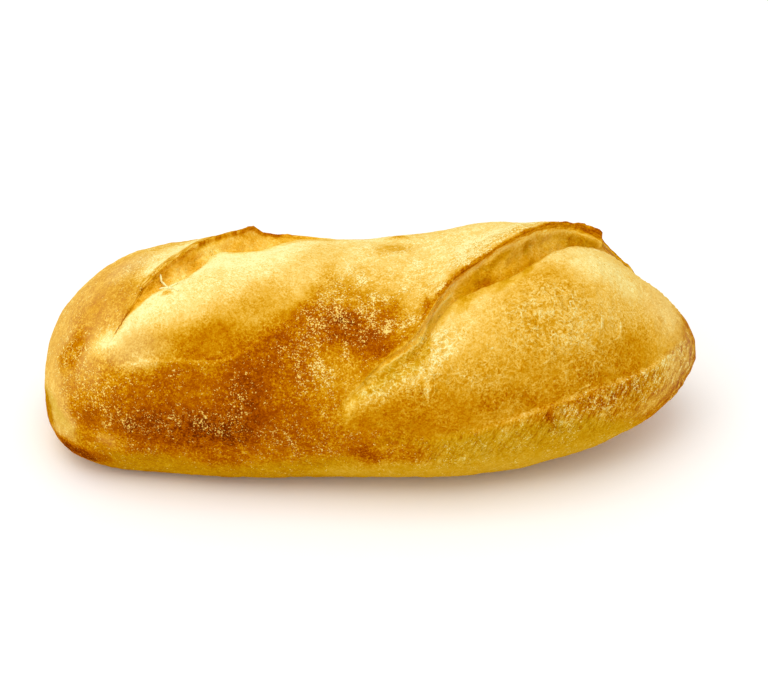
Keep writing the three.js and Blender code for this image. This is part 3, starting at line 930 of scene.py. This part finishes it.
def crust_material():
    material = bpy.data.materials.new("baked_crust")
    n = Nodes(material)
    in_metres = n.add("TexCoord").outputs["Object"]
    place = n.add("Mapping", {"Vector": in_metres, "Scale": (1 / MM, 1 / MM, 1 / MM)}).outputs[0]
    inside = n.attribute("inside")
    flour = n.attribute("flour")
    patchy = n.attribute("patchy")
    crinkled = n.attribute("crinkled")
    fibrous = n.attribute("fibrous")

    # Patches, mottles and grain of the browning, the grain stronger in some places than in others
    broad = n.noise(place, 0.2, 5, 0.62)
    medium = n.noise(place, 0.6, 3, 0.6)
    fine = n.noise(place, 2.0, 1.5, 0.7)
    wavy = n.calc("SUBTRACT", medium, 0.5)
    grainy = n.calc("SUBTRACT", fine, 0.5)
    specks = n.calc("SUBTRACT", n.cells(place, 1.9), 0.5)
    strength = {
        "Value": n.noise(place, 0.11, 3, 0.6),
        "From Min": 0.36, "From Max": 0.64, "To Min": 0.5, "To Max": 1.4,
    }
    grain = n.calc("MULTIPLY_ADD", grainy, 0.75, n.calc("MULTIPLY", specks, 0.18))
    grain = n.calc("MULTIPLY", grain, n.add("MapRange", strength).outputs[0])
    uneven = n.calc("MULTIPLY_ADD", n.calc("SUBTRACT", broad, 0.5), 0.45, grain)
    uneven = n.calc("MULTIPLY_ADD", wavy, 0.5, uneven)
    uneven = n.calc("MINIMUM", uneven, n.calc("MULTIPLY_ADD", inside, 0.3, 0.1))
    tone = n.calc("MULTIPLY_ADD", uneven, patchy, n.attribute("browning"))

    # Crackled skin: thin pale ridges with golden hollows between them
    web = {
        "Vector": place, "Scale": 0.55, "Detail": 3, "Roughness": 0.6,
        "Offset": 1, "Gain": 2, "Distortion": 0.7,
    }
    ridges = n.calc("SUBTRACT", n.add("TexNoise", web, noise_type="RIDGED_MULTIFRACTAL").outputs[0], 1.3)
    ridges = n.calc("MULTIPLY", n.calc("MAXIMUM", ridges, -0.25), crinkled)
    tone = n.calc("MULTIPLY_ADD", ridges, -0.3, tone)

    # Skin drawn out in fibres, which run round the loaf
    drawn = {"Vector": place, "Rotation": (0, 0.45, 0), "Scale": (0.9, 3.6, 3.6)}
    round_loaf = n.add("Mapping", drawn, vector_type="TEXTURE").outputs[0]
    fibre = n.calc("SUBTRACT", n.noise(round_loaf, 1.0, 4, 0.7, 0.6), 0.5)
    tone = n.calc("MULTIPLY_ADD", n.calc("MULTIPLY", fibre, fibrous), -1.4, tone)

    # Flakes along the left ear and layers along the cut face of the right one
    across_ear = n.attribute("across_ear")
    station = n.add("SeparateXYZ", {0: place}).outputs[0]
    along = {"X": n.calc("MULTIPLY", across_ear, 1.7), "Y": n.calc("MULTIPLY", station, 0.3)}
    flakes = n.calc("SUBTRACT", n.noise(n.add("CombineXYZ", along).outputs[0], 1.0, 3, 0.65), 0.5)
    tone = n.calc("MULTIPLY_ADD", n.calc("MULTIPLY", flakes, n.attribute("ridge")), 1.3, tone)

    # Crinkles: thin pale folds with dark pores between them
    swirl = n.noise(place, 0.42, 3, 0.6, 1.2)
    fold = n.line(n.calc("SUBTRACT", swirl, 0.5), 0.0, 0.1)
    fold = n.calc("MULTIPLY", fold, n.step(crinkled, 0.35, 0.9))
    fold = n.calc("MULTIPLY", fold, n.step(medium, 0.42, 0.6))
    blister = n.calc("MULTIPLY", n.fade(n.attribute("from_blister"), 0.12, 0.5), n.step(fine, 0.25, 0.42))
    fold = n.calc("MAXIMUM", fold, n.calc("MULTIPLY", blister, 1.1))
    pores = n.calc("MULTIPLY", crinkled, n.step(n.noise(place, 1.3, 3, 0.7, 0.5), 0.58, 0.66))
    tone = n.calc("MULTIPLY_ADD", pores, 0.08, tone)
    tone = n.calc("MULTIPLY_ADD", fold, -0.24, tone)

    # Flour in clumps of grains, golden where the crust under it is brown
    leaning = {"Vector": place, "Rotation": (0, -0.4, 0), "Scale": (1, 1, 2.2)}
    leaning = n.add("Mapping", leaning, vector_type="TEXTURE").outputs[0]
    clumps = n.calc("SUBTRACT", n.noise(leaning, 0.42, 4, 0.65, 0.6), 0.5)
    grains = n.calc("MULTIPLY_ADD", n.cells(place, 2.4), 0.3, n.noise(place, 2.3, 1.5, 0.7, 0.3))
    laid = n.calc("MULTIPLY_ADD", clumps, 0.75, n.calc("MULTIPLY", flour, 0.3))
    laid = n.calc("MULTIPLY_ADD", fibre, n.calc("MULTIPLY", fibrous, 0.5), laid)
    threshold = n.calc("SUBTRACT", 0.93, laid)
    dust = n.step(grains, threshold, n.calc("ADD", threshold, 0.07))
    dust = n.calc("MULTIPLY", dust, n.calc("SUBTRACT", 1.0, inside))
    powder = {"Value": tone, "From Min": 0.2, "From Max": 0.8, "To Min": 0.0, "To Max": 0.24}
    tone = n.between(dust, tone, n.add("MapRange", powder).outputs[0])

    # Brown pin-pricks in the palest crumb and in the thickest flour
    thick = n.calc("MAXIMUM", inside, n.step(flour, 0.75, 1.1))
    pricks = n.calc("MULTIPLY", thick, n.step(n.noise(place, 2.6, 1, 0.6), 0.64, 0.74))
    pricks = n.calc("MULTIPLY", pricks, n.fade(tone, 0.15, 0.42))
    tone = n.calc("MULTIPLY_ADD", pricks, 0.3, tone)

    # The pale edge of the crumb under the ear, the slashes' lips and the crack where the left one starts
    off_line = n.calc("MULTIPLY_ADD", wavy, 1.6, n.attribute("below_crumb_line"))
    off_line = n.calc("MULTIPLY_ADD", grainy, 0.6, off_line)
    crumb = n.calc("MULTIPLY", n.line(off_line, 0.1, 0.42), n.attribute("crumb_line"))
    crumb = n.calc("MULTIPLY", crumb, n.step(medium, 0.28, 0.46))
    tone = n.between(crumb, tone, 0.16)
    off_lip = n.calc("MULTIPLY_ADD", wavy, 2.5, n.attribute("from_lip"))
    lip = n.calc("MULTIPLY", n.line(off_lip, 0.1, 0.6), n.attribute("lip"))
    tone = n.calc("MULTIPLY_ADD", lip, -0.13, tone)
    off_crack = n.calc("MULTIPLY_ADD", wavy, 2.4, across_ear)
    crack = n.calc("MULTIPLY", n.line(off_crack, 0.08, 0.34), n.attribute("crack"))
    tone = n.between(crack, tone, 0.66)

    colour = n.blend(n.attribute("olive"), n.ramp(tone, CRUST_STOPS), n.ramp(tone, OLIVE_STOPS))
    # Painted light where the skin lies in the loaf's own shade, from the lighter, more golden copy of the
    # colours, and the blunt end's orange crust
    colour = n.blend(n.attribute("painted_light_and_orange"), colour, n.ramp(tone, PAINTED_LIGHT_STOPS))
    colour = n.blend(n.attribute("veil"), colour, FLOUR_COLOUR)
    n.set(n.shader, "Base Color", colour)
    dullness = {"Value": medium, "To Min": 0.62, "To Max": 0.88}
    n.set(n.shader, "Roughness", n.add("MapRange", dullness).outputs[0])
    n.set(n.shader, "Specular IOR Level", 0.0)
    relief = n.calc("MULTIPLY_ADD", medium, 0.9, n.calc("MULTIPLY", fine, 0.6))
    relief = n.calc("MULTIPLY_ADD", fold, 0.5, relief)
    relief = n.calc("MULTIPLY_ADD", ridges, 0.3, relief)
    relief = n.calc("MULTIPLY_ADD", dust, 0.2, relief)
    relief = n.calc("MULTIPLY_ADD", n.calc("MULTIPLY", fibre, fibrous), 1.5, relief)
    bump = n.add("Bump", {"Height": relief, "Strength": 0.6, "Distance": 0.5 * MM})
    n.set(n.shader, "Normal", bump.outputs[0])
    return material


def floor_material():
    material = bpy.data.materials.new("pale_floor")
    n = Nodes(material)
    place = n.add("TexCoord").outputs["Object"]
    colour = n.ramp(n.noise(place, 3.0, 2), ((0.3, (250, 249, 247)), (0.7, (252, 251, 250))))
    n.set(n.shader, "Base Color", colour)
    n.set(n.shader, "Roughness", 0.9)
    return material


def set_stage():
    deselect()
    bpy.ops.mesh.primitive_plane_add(size=4, location=(0, 0, -FLOOR_GAP * MM))
    floor = bpy.context.active_object
    floor.name = "floor"
    floor.data.materials.append(floor_material())
    world = bpy.data.worlds.new("soft_room")
    bpy.context.scene.world = world
    world.use_nodes = True
    world.node_tree.nodes["Background"].inputs["Color"].default_value = (1, 0.99, 0.97, 1)
    world.node_tree.nodes["Background"].inputs["Strength"].default_value = 0.84
    for name, place, turn, size, watts in (
        ("top_softbox", (-0.1, -0.15, 0.9), (math.radians(9), math.radians(-6), 0), 0.9, 3.9),
        ("left_softbox", (-0.8, -0.5, 0.55), (math.radians(55), 0, math.radians(-58)), 0.6, 1.0),
    ):
        bpy.ops.object.light_add(type="AREA", location=place, rotation=turn)
        lamp = bpy.context.active_object
        lamp.name = name
        lamp.data.size = size
        lamp.data.energy = watts
    bpy.context.scene.view_settings.view_transform = "Standard"


set_camera()
set_stage()
loaf = model_loaf()
skin = Skin(loaf)
right = Zones(RIGHT_SLASH, skin)
left = Zones(LEFT_SLASH, skin)
paint(loaf, skin, right, left)
roughen(loaf, skin, right, left)
draw_threads(loaf, skin)
loaf.data.materials.clear()
loaf.data.materials.append(crust_material())
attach(loaf, "root")
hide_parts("loaf")
